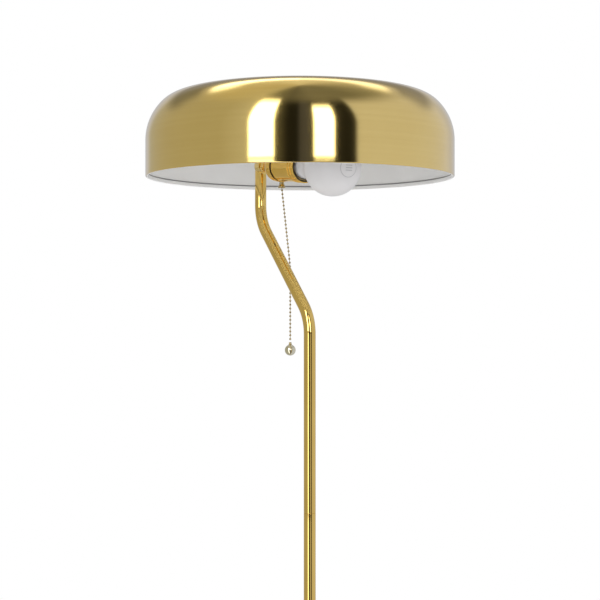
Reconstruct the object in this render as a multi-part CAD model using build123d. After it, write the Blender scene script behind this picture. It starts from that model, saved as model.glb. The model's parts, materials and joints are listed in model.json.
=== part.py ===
from build123d import *
import os
from math import cos, radians, sin, sqrt, tan

os.makedirs("parts", exist_ok=True)

# A brass pharmacy floor lamp. Millimetres, +Z up. The origin is on the floor, on the axis of the
# lower tube. The bend of the tube and the lampholder lie in the XZ plane; the bulb points to +X.

# Shade: a spun drum with a domed top
rim_height = 1428.0
shade_axis_x = -19.0
shade_radius = 165.0
shade_wall = 1.0
drum_height = 38.4
shoulder_radius, shoulder_turn = 56.5, 43.5
brow_radius, brow_turn = 37.1, 40.5
hem_height = 4.6
hem_depth = 2.6
hem_round = 1.2

# Tubes, and the threaded nipples that join them
tube_radius = 6.35
tube_wall = 1.2
tube_end_bevel = 0.3
offset_x = -100.2
bend_radius = 45.0
lower_bend_z = rim_height - 149.7
upper_bend_z = rim_height - 42.4
tube_top_z = rim_height + 66.0
lower_seam_z = 551.0
upper_seam_z = 1071.0
nipple_radius = 5.14
nipple_bore = 3.6
nipple_hole = 5.2
coupling_length = 34.0
nut_size, nut_height = 14.0, 5.0
nut_washer_radius, nut_washer_height = 11.0, 1.2
saddle_radius = 8.6

# Shade bracket, under the crown of the shade
bracket_width = 24.0
strip = 2.0
bracket_plate = (offset_x - 19.0, offset_x + 19.0)
short_foot_length = 22.0
long_foot_length = 119.0

# Base
base_radius = 132.0
base_top_z = 30.0
cover_wall = 1.2
cover_seat = 20.0
cover_edge = 10.0
cover_slope = 8.0
cover_hem_z = 2.5
pad_radius, pad_height = 126.0, 3.0
weight_radius, weight_top_z = 122.0, 20.5
recess_radius, recess_top_z = 17.0, 18.0
base_washer_radius, base_washer_z = 12.0, 16.6
base_nut_z, base_nipple_z, base_nipple_rise = 12.8, 12.6, 20.0
groove_half_width, groove_top_z = 4.0, 12.2
collar_foot, collar_neck, collar_tip, collar_height = 15.0, 8.4, 7.6, 14.0
inlet_z = 8.0
inlet_bore, inlet_wall, inlet_lip = 2.9, 1.1, 1.7

# Lampholder, turned about its own axis: s is the distance along it from the axis of the tube
holder_z = rim_height + 19.5
holder_droop = 5.3
neck_start, neck_end, neck_radius = 9.5, 20.0, 7.4
cap_end, cap_lip_start = 45.8, 40.0
cap_dome_radius, cap_dome_turn = 15.0, 52.0
set_screw_s, set_screw_angle, set_screw_radius = 12.6, 210, 1.5
set_screw_head, set_screw_top = 2.4, 9.2
shell_start, shell_end = 49.0, 92.4
shell_rings, ring_half, ring_rise = (81.2, 86.2), 1.2, 0.6
holder_radius = 16.9
holder_wall = 0.6
holder_mouth_step = 0.4
liner_radius, liner_wall = 15.9, 0.8
liner_start = 42.0
body_start, body_end, body_radius = 48.5, 63.0, 14.4
body_screw_radius, body_screw_head, body_screw_x, body_screw_y = 1.2, 2.1, 6.5, -8.5
body_screw_head_start, body_screw_end = 63.5, 64.6
terminal_s, terminal_radius, terminal_head = 52.8, 1.5, 2.7
terminal_start, terminal_seat, terminal_end = 8.6, 12.2, 13.8
screw_slot = 0.4
screw_shell_radius, screw_shell_end, screw_shell_wall = 14.25, 91.0, 0.5
contact_strip_length, contact_strip_width = 12.0, 5.0
plate_start, plate_end, plate_radius = 47.5, 48.3, 13.0
rotor_size, rotor_start, rotor_thickness = 9.4, 49.3, 5.0
spindle_radius, spindle_start, spindle_end = 1.5, 47.0, 58.2
rotor_chamber_radius, rotor_chamber_end = 7.6, 55.0

# Pull chain and the switch that it works
chain_x = offset_x + 44.5
chain_radius = 1.2
chain_lean, chain_shift = 10.0, 1.6
chain_drop = 177.4
chain_opening = 2.75
ball_radius = 6.0
ferrule_radius, ferrule_length = 1.9, 3.0
bell_bore, bell_radius, bell_flange, bell_mouth = 1.75, 2.65, 3.5, 3.9
bell_top_z = rim_height + 2.4
bell_mouth_z = rim_height - 8.2
lever_length = 10.0
lever_turn = 60.0
lever_start, lever_end = 43.7, 45.5
lever_pivot_xy = (-9.2, -6.0)
pin_radius, pin_head = 1.2, 2.2
pin_start, pin_head_end = 39.4, 40.2
spring_wire, spring_radius, spring_s, spring_pitch = 0.3, 1.75, 41.0, 0.52
spring_leg, spring_leg_angle = 4.6, 250
running_clearance = 0.05

# Bulb
globe_radius, globe_s = 30.0, 143.8
glass_wall = 0.8
bulb_neck, bulb_neck_start, bulb_neck_end = 12.5, 87.0, 98.0
bulb_cap_radius, bulb_cap_wall, bulb_cap_end = 13.15, 0.4, 90.5
bulb_tip_s, bulb_tip_radius, insulator_s = 64.9, 4.6, 66.0
insulator_foot = (11.0, 68.6), (10.8, 69.1)
stem_start, stem_end, stem_radius = 88.0, 112.0, 2.4
filament_s, filament_start, filament_spread, filament_wire = 130.0, 112.3, 9.0, 0.3

# Wiring
lead_radius, lead_hole = 2.6, 3.4
lead_end = 24.0
lead_floor_bend, lead_holder_bend = 7.0, 6.0
core_radius = 0.95
core_start, core_end, terminal_reach = 24.3, 49.6, 12.9


def rod(radius, low, high, x=0.0, y=0.0):
    """A round bar standing between two heights."""
    return Pos(x, y, low) * Cylinder(radius, high - low, align=(Align.CENTER, Align.CENTER, Align.MIN))


def pipe(radius, bore, low, high, x=0.0, y=0.0):
    """A round bar with a hole through it."""
    return rod(radius, low, high, x, y) - rod(bore, low - 1, high + 1, x, y)


def block(x_range, y_range, z_range):
    """A box between two corners."""
    sizes = [high - low for low, high in (x_range, y_range, z_range)]
    corner = Pos(x_range[0], y_range[0], z_range[0])
    return corner * Box(*sizes, align=(Align.MIN, Align.MIN, Align.MIN))


def turned(*lines):
    """Spin a closed outline, drawn as radius and height, about the Z axis."""
    return revolve(Plane.XZ * make_face(Curve() + list(lines)), Axis.Z)


def turned_points(*points):
    """Spin a straight-sided outline about the Z axis."""
    return turned(Polyline(*points, close=True))


def nut(low, high, x=0.0):
    """A hexagonal nut on a threaded nipple."""
    outline = RegularPolygon(nut_size / 2, 6, major_radius=False) - Circle(nipple_radius)
    return Pos(x, 0, low) * extrude(outline, high - low)


def drawn_along(path, section):
    """Sweep a flat section along a path, square to its start."""
    start = Plane(origin=path @ 0, z_dir=path % 0)
    return sweep(start * section, path=path)


def filled_outline(curves):
    """Close a half outline, drawn from its lower edge to the axis, down the axis."""
    foot = curves[0] @ 0
    top = curves[-1] @ 1
    axis_line = Line((0, top.Y), (0, foot.Y))
    foot_line = Line((0, foot.Y), (foot.X, foot.Y))
    return turned(*curves, axis_line, foot_line)


# ---- Shade ----

def shade_curves(inset):
    """Half outline of the shade, a distance in from its outside face, from the rim to the axis."""
    crown_turn = 90 - shoulder_turn - brow_turn
    crown_edge = (
        shade_radius
        - shoulder_radius * (1 - cos(radians(shoulder_turn)))
        - brow_radius * (cos(radians(shoulder_turn)) - cos(radians(90 - crown_turn)))
    )
    crown_radius = crown_edge / sin(radians(crown_turn))
    drum = Line((shade_radius - inset, hem_height / 2), (shade_radius - inset, drum_height))
    shoulder = JernArc(drum @ 1, drum % 1, shoulder_radius - inset, shoulder_turn)
    brow = JernArc(shoulder @ 1, shoulder % 1, brow_radius - inset, brow_turn)
    crown = JernArc(brow @ 1, brow % 1, crown_radius - inset, crown_turn)
    return [drum, shoulder, brow, crown]


def shade_fill(inset):
    """The space under the shade, up to a distance in from its outside face."""
    return Pos(shade_axis_x, 0, rim_height) * filled_outline(shade_curves(inset))


def make_shade_shell():
    hem_centre = (shade_radius - hem_depth / 2, hem_height / 2)
    hem_section = Pos(*hem_centre) * RectangleRounded(hem_depth, hem_height, hem_round)
    hem = revolve(Plane.XZ * hem_section, Axis.Z)
    skin = shade_fill(0) - shade_fill(shade_wall)
    return skin + Pos(shade_axis_x, 0, rim_height) * hem


def make_shade_bracket():
    low, high = bracket_plate
    across = (-bracket_width / 2, bracket_width / 2)
    leg_heights = (tube_top_z, rim_height + 100)
    short_foot = block((low - short_foot_length, low), across, leg_heights)
    long_foot = block((high, high + long_foot_length), across, leg_heights)
    feet = (short_foot + long_foot) & (shade_fill(shade_wall) - shade_fill(shade_wall + strip))
    legs = block((low - strip, low), across, leg_heights) + block((high, high + strip), across, leg_heights)
    legs = legs & shade_fill(shade_wall)
    plate = block((low - strip, high + strip), across, (tube_top_z, tube_top_z + strip))
    return plate + legs + feet - rod(nipple_hole, tube_top_z - 1, tube_top_z + strip + 1, offset_x)


# ---- Tubes ----

def outer_rims(tube):
    """The round edges of a tube on its outside."""
    return tube.edges().filter_by(GeomType.CIRCLE).filter_by(lambda e: e.radius > tube_radius - 0.1)


def bevelled_tube(low, high):
    """A straight length of the tube with its outer corners eased."""
    tube = pipe(tube_radius, tube_radius - tube_wall, low, high)
    return chamfer(outer_rims(tube), tube_end_bevel)


def offset_path(low, high):
    """Centre line of the bent tube, from a height below the bends to one above them."""
    corners = [(0, 0, low), (0, 0, lower_bend_z), (offset_x, 0, upper_bend_z), (offset_x, 0, high)]
    return FilletPolyline(*corners, radius=bend_radius)


def make_upper_tube():
    section = Circle(tube_radius) - Circle(tube_radius - tube_wall)
    tube = drawn_along(offset_path(upper_seam_z, tube_top_z), section)
    ends = [e for e in outer_rims(tube) if not upper_seam_z + 1 < e.center().Z < tube_top_z - 1]
    tube = chamfer(ends, tube_end_bevel)
    return tube - holder_place * rod(lead_hole, 0, tube_radius + 2)


def make_coupling(seam_z):
    return pipe(nipple_radius, nipple_bore, seam_z - coupling_length / 2, seam_z + coupling_length / 2)


# ---- Base ----

def cover_curves(inset):
    """Half outline of the base cover, a distance in from its outside face."""
    edge_turn = 90 - cover_slope
    slope_span = base_radius - cover_edge * (1 - sin(radians(cover_slope))) - cover_seat
    slope_radius = slope_span / sin(radians(cover_slope))
    slope_drop = slope_radius * (1 - cos(radians(cover_slope)))
    edge_z = base_top_z - slope_drop - cover_edge * cos(radians(cover_slope))
    skirt = Line((base_radius - inset, cover_hem_z), (base_radius - inset, edge_z))
    edge = JernArc(skirt @ 1, skirt % 1, cover_edge - inset, edge_turn)
    slope = JernArc(edge @ 1, edge % 1, slope_radius - inset, cover_slope)
    seat = Line(slope @ 1, (0, base_top_z - inset))
    return [skirt, edge, slope, seat]


def make_base_cover():
    cover = filled_outline(cover_curves(0)) - filled_outline(cover_curves(cover_wall))
    inlet = Pos(-base_radius, 0, inlet_z) * Rot(0, 90, 0) * Cylinder(inlet_bore + inlet_wall, 12)
    return cover - rod(nipple_hole, 0, base_top_z + 1) - inlet


def make_base_weight():
    weight = rod(weight_radius, pad_height, weight_top_z)
    weight += rod(cover_seat, weight_top_z, base_top_z - cover_wall)
    weight -= rod(recess_radius, pad_height - 1, recess_top_z)
    weight -= rod(nipple_hole, pad_height, base_top_z)
    groove_sides = (-groove_half_width, groove_half_width)
    groove = block((-weight_radius - 1, 0), groove_sides, (pad_height - 1, groove_top_z))
    return weight - groove


def make_foot_collar():
    inner = tube_radius + running_clearance
    top = collar_height
    collar = turned_points(
        (inner, 0), (collar_foot, 0), (collar_foot, 2.0), (collar_foot - 2.0, 4.0),
        (collar_neck + 0.8, 6.0), (collar_neck, top - 1.0), (collar_tip, top), (inner, top),
    )
    return Pos(0, 0, base_top_z) * collar


def make_inlet_bush(cover):
    """A lipped bush through the skirt of the base, with its bore along X."""
    outer, inner = base_radius + 1.6, weight_radius + 2.5
    along_x = Pos(-outer, 0, inlet_z) * Rot(0, 90, 0)
    length = outer - inner
    lip = rod(inlet_bore + inlet_lip, 0, inlet_lip)
    stem = rod(inlet_bore + inlet_wall, 0, length)
    tail = rod(inlet_bore + inlet_lip, length - 2.0, length)
    bore = rod(inlet_bore, -1, length + 1)
    return along_x * (lip + stem + tail - bore) - cover


# ---- Lampholder ----

droop = radians(holder_droop)
holder_axis = (cos(droop), 0, -sin(droop))
holder_place = Plane(origin=(offset_x, 0, holder_z), x_dir=(0, 1, 0), z_dir=holder_axis).location
set_screw_frame = Pos(0, 0, set_screw_s) * Rot(0, 0, set_screw_angle) * Rot(0, 90, 0)


def chain_passage(radius):
    """The vertical way that the chain takes down through the lampholder."""
    return rod(radius, rim_height - 12, rim_height + 12, chain_x)


def make_tube_saddle():
    disc = holder_place * pipe(saddle_radius, nipple_radius, 0, neck_start)
    return disc - rod(tube_radius, holder_z - 30, holder_z + 30, offset_x) - tube_far_side()


def tube_far_side():
    """Everything on the far side of the tube from the bulb."""
    return block((offset_x - 40, offset_x), (-40, 40), (holder_z - 40, holder_z + 40))


def make_socket_nipple():
    nipple = holder_place * pipe(nipple_radius, nipple_bore, 0, 26.0)
    return nipple - rod(tube_radius, holder_z - 30, holder_z + 30, offset_x) - tube_far_side()


def cap_outline(inset):
    """Outline of the domed cap, a distance in from its outside face, closed along the axis."""
    neck = neck_radius - inset
    lip = Line((holder_radius - inset, cap_end), (holder_radius - inset, cap_lip_start))
    dome = JernArc(lip @ 1, lip % 1, cap_dome_radius - inset, -cap_dome_turn)
    flare_point = (neck, neck_end + inset * 0.8)
    flare = Line(dome @ 1, flare_point)
    return neck, lip, dome, flare


def cap_solid(inset, start):
    neck, lip, dome, flare = cap_outline(inset)
    throat = Line(flare @ 1, (neck, start))
    back = Line((neck, start), (0, start))
    axis_line = Line((0, start), (0, cap_end))
    front = Line((0, cap_end), (holder_radius - inset, cap_end))
    return turned(lip, dome, flare, throat, back, axis_line, front)


def make_socket_cap():
    hollow = cap_solid(holder_wall, neck_end) - rod(12, neck_end - 1, neck_end + 2)
    cap = cap_solid(0, neck_start) - hollow - rod(nipple_radius, 0, 60)
    cap -= set_screw_frame * rod(set_screw_radius, nipple_radius, holder_radius)
    return holder_place * cap - chain_passage(chain_opening)


def make_set_screw():
    """Slotted screw in the neck of the cap, its head hollowed to sit on the round of the neck."""
    shank = rod(set_screw_radius, nipple_radius, neck_radius)
    slot = block((-screw_slot, screw_slot), (-3, 3), (set_screw_top - 0.8, set_screw_top + 1))
    head = rod(set_screw_head, neck_radius, set_screw_top) - slot
    neck = rod(neck_radius, 0, 30) - set_screw_frame * rod(set_screw_radius, 0, neck_radius + 0.1)
    return holder_place * (set_screw_frame * (shank + head) - neck)


def make_socket_shell():
    radius = holder_radius - holder_mouth_step
    inner = radius - holder_wall
    rings = []
    for ring in shell_rings:
        rings += [(radius, ring - ring_half), (radius + ring_rise, ring), (radius, ring + ring_half)]
    shell = turned_points(
        (inner, shell_start), (holder_radius, shell_start), (holder_radius, shell_start + 2.0),
        (radius, shell_start + 2.6), *rings, (radius, shell_end - 1.8),
        (radius + 0.7, shell_end - 1.0), (radius + 0.7, shell_end), (inner, shell_end),
    )
    return holder_place * shell - chain_passage(chain_opening)


def make_socket_liner():
    liner = pipe(liner_radius - 0.02, liner_radius - liner_wall, liner_start, shell_end + 1.0)
    return holder_place * liner - chain_passage(chain_opening)


def bell_notch():
    """Room for the top of the chain's bell, in the lowest edge of the plate and the body."""
    return block((-4, 4), (-20, -11.8), (plate_start - 1, plate_end + 1.8))


def make_switch_plate():
    plate = rod(plate_radius, plate_start, plate_end)
    plate -= block((-20, 20), (6.5, 20), (plate_start - 1, plate_end + 1))
    plate -= rod(spindle_radius + running_clearance, plate_start - 1, plate_end + 1)
    return holder_place * (plate - bell_notch()) - make_lever_pin() - body_screw_solids()


def make_lever_pin():
    """The riveted pin that the pull lever swings on."""
    x, y = lever_pivot_xy
    head = rod(pin_head, pin_start, pin_head_end, x, y)
    return holder_place * (rod(pin_radius, pin_head_end, plate_end, x, y) + head)


def make_lever_spring():
    """Close-wound torsion spring round the lever pin, with a leg on the lever and one on the cap."""
    x, y = lever_pivot_xy
    coil = Pos(x, y, spring_s) * Torus(spring_radius, spring_wire)
    for turn in range(1, 4):
        coil += Pos(x, y, spring_s + spring_pitch * turn) * Torus(spring_radius, spring_wire)
    leg = Pos(x, y, spring_s) * Rot(0, 90, spring_leg_angle) * rod(spring_wire, spring_radius, spring_leg)
    return holder_place * (coil + leg)


def make_pull_lever():
    """Flat arm from the pin to a round pad over the end of the chain, a little above level."""
    x, y = lever_pivot_xy
    low, high = lever_start, lever_end
    rise = lever_turn / 2
    arm = extrude(Pos(lever_length / 2, 0) * Rectangle(lever_length, 2.6), high - low)
    arm = Pos(x, y, low) * Rot(0, 0, rise) * arm
    pad_x = x + lever_length * cos(radians(rise))
    pad_y = y + lever_length * sin(radians(rise))
    lever = arm + rod(2.6, low, high, x, y) + rod(1.5, low, high, pad_x, pad_y)
    return holder_place * (lever - rod(pin_radius + running_clearance, low - 1, high + 1, x, y))


def make_switch_rotor():
    """Four-lobed cam on its axle."""
    cam = extrude(RectangleRounded(rotor_size, rotor_size, 1.6), rotor_thickness)
    spindle = rod(spindle_radius, spindle_start, spindle_end)
    return holder_place * (Pos(0, 0, rotor_start) * cam + spindle)


def terminal_frame(side):
    """Radial frame of a terminal, up and to one side of the holder's axis."""
    return Pos(0, 0, terminal_s) * Rot(0, 0, 90 - 45 * side) * Rot(0, 90, 0)


def terminal_screw_solids():
    shank = rod(terminal_radius, terminal_start, terminal_seat)
    slot = block((-3, 3), (-screw_slot, screw_slot), (terminal_end - 0.8, terminal_end + 1))
    screw = shank + rod(terminal_head, terminal_seat, terminal_end) - slot
    return [holder_place * terminal_frame(side) * screw for side in (-1, 1)]


def body_screw_solids():
    shank = rod(body_screw_radius, plate_start, body_screw_head_start)
    screw = shank + rod(body_screw_head, body_screw_head_start, body_screw_end)
    return [holder_place * Pos(side * body_screw_x, body_screw_y, 0) * screw for side in (-1, 1)]


def make_socket_body():
    body = rod(body_radius, body_start, body_end)
    body -= rod(rotor_chamber_radius, body_start - 1, rotor_chamber_end)
    body -= rod(spindle_radius + running_clearance, body_start, spindle_end + 0.6)
    for side in (-1, 1):
        body -= terminal_frame(side) * rod(terminal_head + 0.6, terminal_seat, 20)
        body -= terminal_frame(side) * block((0, 20), (-1.6, 1.6), (terminal_seat - 1.0, 20))
    return holder_place * (body - bell_notch()) - terminal_screw_solids() - body_screw_solids()


def make_screw_shell():
    floor_end = body_end + screw_shell_wall
    sleeve = pipe(screw_shell_radius, screw_shell_radius - screw_shell_wall, body_end, screw_shell_end)
    flange = pipe(screw_shell_radius, contact_strip_length / 2 + 0.5, body_end, floor_end)
    return holder_place * (sleeve + flange) - body_screw_solids()


def make_centre_contact():
    """A strip with round ends across the floor of the screw shell, and a raised button on it."""
    half_width, reach = contact_strip_width / 2, contact_strip_length / 2
    top = body_end + screw_shell_wall
    flat = block((-half_width, half_width), (-reach, reach), (body_end, top)) & rod(reach, body_end, top)
    button = turned_points((0, top), (2.4, top), (1.4, top + 0.9), (0, top + 0.9))
    return holder_place * (flat + button)


def make_chain_bell():
    """Trumpet guide for the chain, held in the edge of the cap."""
    top = bell_top_z - bell_mouth_z
    flange = top - 0.9
    bell = turned_points(
        (bell_bore, top), (bell_flange, top), (bell_flange, flange), (bell_radius, flange),
        (bell_radius, 3.4), (bell_radius + 0.25, 2.0), (bell_mouth, 0.8), (bell_mouth, 0),
        (bell_mouth - 0.6, 0), (bell_bore + 0.55, 1.6), (bell_bore, 3.0),
    )
    return Pos(chain_x, 0, bell_mouth_z) * bell


# ---- Pull chain ----

chain_route = [
    (chain_x, 0, rim_height + 12.4),
    (chain_x, 0, rim_height - 8),
    (chain_x + chain_shift, chain_lean, rim_height - 95),
    (chain_x + chain_shift, chain_lean, rim_height - chain_drop),
]


def route_bends(route, edge_radius=None):
    """Radius at each corner of a route: as large as its shorter run allows, unless one is given."""
    bends = []
    for before, corner, after in zip(route, route[1:], route[2:]):
        run_in = Vector(*corner) - Vector(*before)
        run_out = Vector(*after) - Vector(*corner)
        turn = run_in.get_angle(run_out)
        room = 0.45 * min(run_in.length, run_out.length) / tan(radians(turn / 2))
        bends.append(min(room, edge_radius) if edge_radius else room)
        print(f"  turn {turn:5.1f} degrees, radius {bends[-1]:6.1f} mm")
    return bends


def make_pull_chain():
    print("pull_chain")
    mouth_bend = route_bends(chain_route[:3])
    lean_bend = route_bends(chain_route[1:], edge_radius=60.0)
    path = FilletPolyline(*chain_route, radius=mouth_bend + lean_bend)
    chain = drawn_along(path, Circle(chain_radius))
    print(f"  length {path.length:.1f} mm, volume {chain.volume:.1f} mm3")
    print(f"  section times length {Circle(chain_radius).area * path.length:.1f} mm3")
    return chain


def chain_end(low, high, radius):
    x, y, _ = chain_route[-1]
    return rod(radius, low, high, x, y)


def make_chain_ferrule():
    end_z = chain_route[-1][2]
    return chain_end(end_z - ferrule_length, end_z, ferrule_radius)


def make_chain_ball():
    x, y, end_z = chain_route[-1]
    seat_z = end_z - ferrule_length
    centre_z = seat_z - sqrt(ball_radius**2 - ferrule_radius**2)
    ball = Pos(x, y, centre_z) * Sphere(ball_radius)
    return ball - chain_end(seat_z, end_z, ball_radius)


# ---- Bulb ----

def glass_curves(inset):
    """Half outline of the bulb's glass, a distance in from its outside face, from the neck to the tip."""
    drop = globe_s - bulb_neck_end
    blend = (bulb_neck**2 + drop**2 - globe_radius**2) / (2 * (globe_radius - bulb_neck))
    lean = Vector(1, 0).get_angle(Vector(bulb_neck + blend, drop))
    neck = Line((bulb_neck - inset, bulb_neck_start), (bulb_neck - inset, bulb_neck_end))
    hollow = JernArc(neck @ 1, neck % 1, blend + inset, -lean)
    globe = JernArc(hollow @ 1, hollow % 1, globe_radius - inset, 90 + lean)
    return [neck, hollow, globe]


def make_bulb_glass():
    return holder_place * (filled_outline(glass_curves(0)) - filled_outline(glass_curves(glass_wall)))


def make_bulb_cap():
    outer, inner, end = bulb_cap_radius, bulb_cap_radius - bulb_cap_wall, bulb_cap_end
    foot, inner_foot = insulator_foot
    return holder_place * turned_points(
        foot, (outer - 0.95, foot[1] + 0.6), (outer, foot[1] + 2.0), (outer, end), (bulb_neck, end),
        (bulb_neck, end - 0.6), (inner, end - 0.9), (inner, foot[1] + 2.2), (inner - 0.85, foot[1] + 1.1),
        inner_foot,
    )


def make_bulb_insulator():
    foot, inner_foot = insulator_foot
    top = inner_foot[1] + 1.1
    return holder_place * turned_points(
        (0, insulator_s), (bulb_tip_radius, insulator_s), (10.0, insulator_s + 2.0), foot, inner_foot,
        (9.0, top), (0, top),
    )


def make_bulb_contact():
    return holder_place * turned_points(
        (0, bulb_tip_s), (bulb_tip_radius - 2.0, bulb_tip_s), (bulb_tip_radius - 0.4, bulb_tip_s + 0.6),
        (bulb_tip_radius, insulator_s), (0, insulator_s),
    )


def make_bulb_stem():
    """Glass stem that carries the filament, flared to the glass at its foot."""
    foot, low = bulb_neck - glass_wall, stem_start
    return holder_place * turned_points(
        (0, low), (foot, low), (foot, low + 1.0), (5.0, low + 5.0), (3.2, low + 9.0),
        (stem_radius, stem_end), (0, stem_end),
    )


def make_bulb_filament():
    """Support wires and filament, as one bent wire."""
    spread, top, low = filament_spread, filament_s, filament_start
    corners = [(-1.6, 0, low), (-spread, 0, top), (spread, 0, top), (1.6, 0, low)]
    path = FilletPolyline(*corners, radius=2.0)
    return holder_place * drawn_along(path, Circle(filament_wire))


# ---- Wiring ----

def make_supply_lead():
    """Sheathed lead from the inlet, up the tubes, round into the lampholder."""
    turn_out = Vector(offset_x, 0, holder_z)
    end = turn_out + Vector(*holder_axis) * lead_end
    corners = [
        (-weight_radius + 4, 0, inlet_z),
        (0, 0, inlet_z),
        (0, 0, lower_bend_z),
        (offset_x, 0, upper_bend_z),
        tuple(turn_out),
        tuple(end),
    ]
    path = FilletPolyline(*corners, radius=[lead_floor_bend, bend_radius, bend_radius, lead_holder_bend])
    return drawn_along(path, Circle(lead_radius))


def make_core(side):
    """One insulated core, from the lead's end to its terminal."""
    reach = terminal_reach * sin(radians(45))
    corners = [
        (side * 1.2, 0.4, core_start), (side * 1.6, 1.5, core_start + 4.7),
        (side * reach, reach, core_start + 14.7), (side * reach, reach, core_end),
    ]
    path = FilletPolyline(*corners, radius=[3.0, 4.0])
    return holder_place * drawn_along(path, Circle(core_radius))


def build():
    base_cover = make_base_cover()
    nut_z = tube_top_z + strip + nut_washer_height
    return {
        "base_pad": rod(pad_radius, 0, pad_height),
        "base_weight": make_base_weight(),
        "base_cover": base_cover,
        "base_nipple": pipe(nipple_radius, nipple_bore, base_nipple_z, base_top_z + base_nipple_rise),
        "base_washer": pipe(base_washer_radius, nipple_radius, base_washer_z, recess_top_z),
        "base_nut": nut(base_nut_z, base_washer_z),
        "foot_collar": make_foot_collar(),
        "inlet_bush": make_inlet_bush(base_cover),
        "lower_tube": bevelled_tube(base_top_z, lower_seam_z),
        "lower_coupling": make_coupling(lower_seam_z),
        "middle_tube": bevelled_tube(lower_seam_z, upper_seam_z),
        "upper_coupling": make_coupling(upper_seam_z),
        "upper_tube": make_upper_tube(),
        "top_nipple": pipe(nipple_radius, nipple_bore, tube_top_z - 20, nut_z + 8, offset_x),
        "shade_bracket": make_shade_bracket(),
        "shade_washer": pipe(nut_washer_radius, nipple_radius, tube_top_z + strip, nut_z, offset_x),
        "shade_nut": nut(nut_z, nut_z + nut_height, offset_x),
        "shade_shell": make_shade_shell(),
        "tube_saddle": make_tube_saddle(),
        "socket_nipple": make_socket_nipple(),
        "socket_cap": make_socket_cap(),
        "cap_set_screw": make_set_screw(),
        "socket_shell": make_socket_shell(),
        "socket_liner": make_socket_liner(),
        "socket_body": make_socket_body(),
        "screw_shell": make_screw_shell(),
        "centre_contact": make_centre_contact(),
        "terminal_screws": Compound(terminal_screw_solids()),
        "body_screws": Compound(body_screw_solids()),
        "switch_plate": make_switch_plate(),
        "switch_rotor": make_switch_rotor(),
        "lever_pin": make_lever_pin(),
        "lever_spring": make_lever_spring(),
        "pull_lever": make_pull_lever(),
        "chain_bell": make_chain_bell(),
        "pull_chain": make_pull_chain(),
        "chain_ferrule": make_chain_ferrule(),
        "chain_ball": make_chain_ball(),
        "bulb_glass": make_bulb_glass(),
        "bulb_cap": make_bulb_cap(),
        "bulb_insulator": make_bulb_insulator(),
        "bulb_contact": make_bulb_contact(),
        "bulb_stem": make_bulb_stem(),
        "bulb_filament": make_bulb_filament(),
        "supply_lead": make_supply_lead(),
        "live_core": make_core(1),
        "neutral_core": make_core(-1),
    }


for name, shape in build().items():
    shape.label = name
    export_step(shape, f"parts/{name}.step")
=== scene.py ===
# %% [markdown]
# # A brass pharmacy floor lamp
# The model of the lamp comes in as a fixed frame: every part has its real size and its place.
# This notebook adds what that frame doesn't have: spun sheet with soft edges, a chain of beads,
# frosted glass, and the finish of every part. All lengths are in metres.

# %% Load the frame
import json
from math import atan2, cos, degrees, hypot, pi, radians, sin, tan

import bmesh
import bpy
from mathutils import Matrix, Vector


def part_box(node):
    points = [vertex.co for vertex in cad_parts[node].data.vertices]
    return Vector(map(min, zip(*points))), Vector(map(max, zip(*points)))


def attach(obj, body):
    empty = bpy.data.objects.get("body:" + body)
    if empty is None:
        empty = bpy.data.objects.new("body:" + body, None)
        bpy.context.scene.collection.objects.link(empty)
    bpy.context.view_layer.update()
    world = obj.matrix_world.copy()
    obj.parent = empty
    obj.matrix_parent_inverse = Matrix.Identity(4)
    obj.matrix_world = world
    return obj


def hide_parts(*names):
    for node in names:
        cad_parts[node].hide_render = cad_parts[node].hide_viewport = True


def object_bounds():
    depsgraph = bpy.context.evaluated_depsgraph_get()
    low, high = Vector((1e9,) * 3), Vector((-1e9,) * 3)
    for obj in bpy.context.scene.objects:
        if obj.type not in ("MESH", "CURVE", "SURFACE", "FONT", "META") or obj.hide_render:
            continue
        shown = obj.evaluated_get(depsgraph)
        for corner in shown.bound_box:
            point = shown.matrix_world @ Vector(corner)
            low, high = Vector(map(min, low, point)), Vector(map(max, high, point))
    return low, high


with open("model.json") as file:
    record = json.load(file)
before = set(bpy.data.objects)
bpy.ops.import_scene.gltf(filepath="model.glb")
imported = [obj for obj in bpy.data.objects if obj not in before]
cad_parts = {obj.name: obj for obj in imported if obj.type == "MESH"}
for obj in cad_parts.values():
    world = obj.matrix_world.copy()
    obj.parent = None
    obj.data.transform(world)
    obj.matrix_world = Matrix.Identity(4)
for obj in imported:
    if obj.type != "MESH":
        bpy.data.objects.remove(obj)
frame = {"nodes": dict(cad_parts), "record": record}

cad_low, cad_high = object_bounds()
MM = 0.001
print("parts in the frame:", len(frame["nodes"]))
print("height of the lamp:", round(cad_high.z, 3), "m")

# %% [markdown]
# ## Where things are
# The driving places come from the frame's own boxes: the rim of the shade, the axis of the shade
# and the tubes. The lampholder droops a few degrees, so it gets a frame of its own, whose Z axis
# runs from the tube to the bulb. The joint that lets the bulb out gives its direction.

# %% Measure the frame
shade_low, shade_high = (Vector(corner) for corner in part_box("shade_shell"))
tube_low, tube_high = (Vector(corner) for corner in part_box("lower_tube"))
upper_low, upper_high = (Vector(corner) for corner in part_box("upper_tube"))
rim_z = shade_low.z
shade_radius = (shade_high.x - shade_low.x) / 2
shade_x = (shade_high.x + shade_low.x) / 2
tube_radius = (tube_high.x - tube_low.x) / 2
offset_x = upper_low.x + tube_radius
joints = {joint["name"]: joint for joint in frame["record"]["behaviour"]["joints"]}
holder_axis = Vector(joints["bulb_unscrew"]["axis"])
rotor_distance = 52 * MM
holder_origin = Vector(joints["rotor_index"]["pos_m"]) - holder_axis * rotor_distance
holder_side = Vector((0, 1, 0))
holder_up = holder_axis.cross(holder_side)
holder_turn = Matrix((holder_side, holder_up, holder_axis)).transposed().to_4x4()
holder_place = Matrix.Translation(holder_origin) @ holder_turn
shade_place = Matrix.Translation((shade_x, 0, rim_z))
print("rim at", round(rim_z, 4), "shade radius", round(shade_radius, 4))
print("tube radius", round(tube_radius, 5))
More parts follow.
